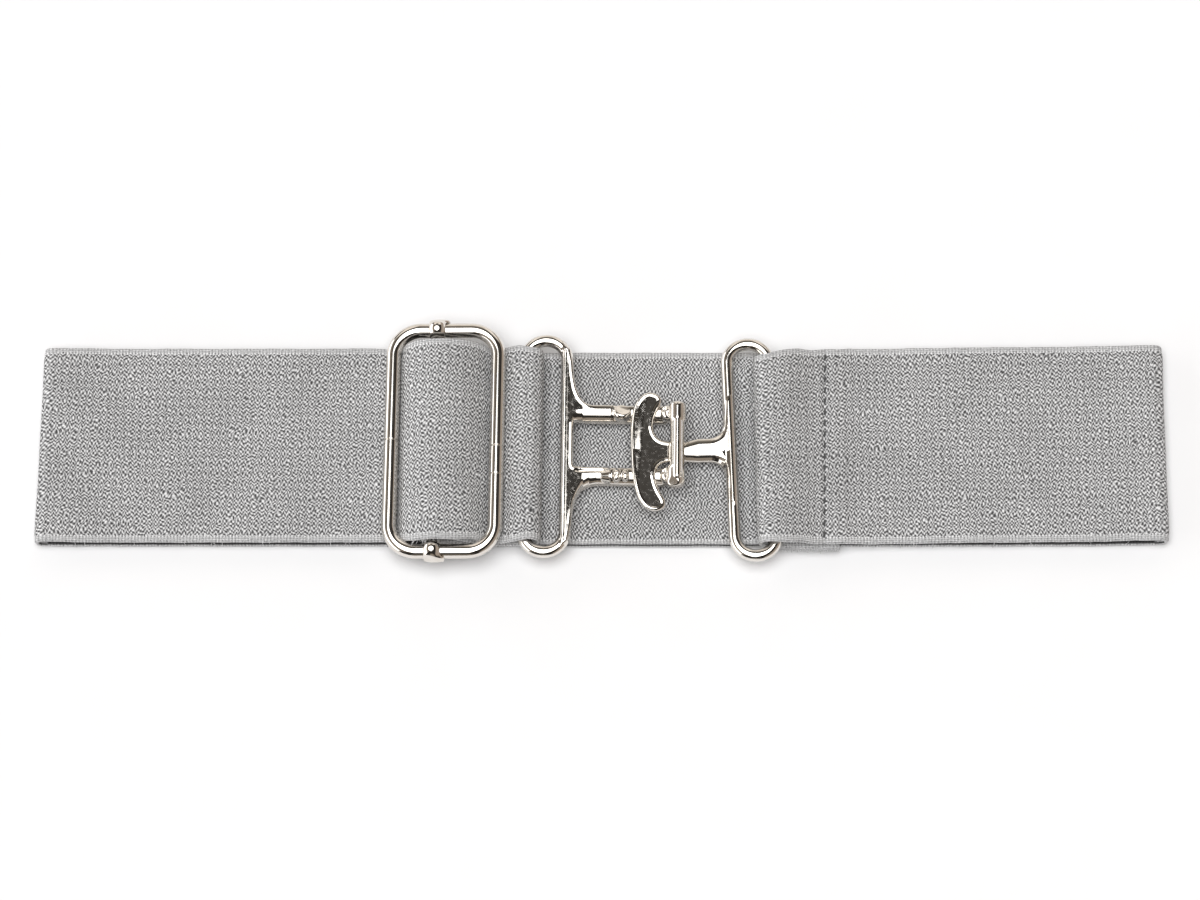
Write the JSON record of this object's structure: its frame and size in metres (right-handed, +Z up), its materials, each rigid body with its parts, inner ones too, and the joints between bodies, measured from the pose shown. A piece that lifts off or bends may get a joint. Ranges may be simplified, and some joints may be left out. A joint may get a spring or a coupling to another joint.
{
  "type": "elastic belt",
  "caption": "Flat elastic webbing belt, fastened, with a wire slide adjuster and a cast two-piece interlocking hook clasp, lying folded flat.",
  "frame": {"origin": "middle of the underside, on the surface that the belt lies on", "axes": "+X along the belt, from the slide adjuster towards the sewn tail; +Y across the belt, away from the viewer; +Z up"},
  "size_m": [0.2741, 0.0626, 0.0112],
  "materials": {
    "grey_elastic": "heathered grey woven elastic with ribbed edges",
    "nickel_wire": "polished nickel plate on bent steel wire",
    "nickel_cast": "polished nickel plate on cast metal, with fine scratches"
  },
  "bodies": {
    "root": {"elastic_webbing": "grey_elastic", "slide_frame": "nickel_wire", "slide_bar": "nickel_wire", "clasp_keeper": "nickel_cast", "clasp_hook": "nickel_cast"}
  },
  "joints": []
}
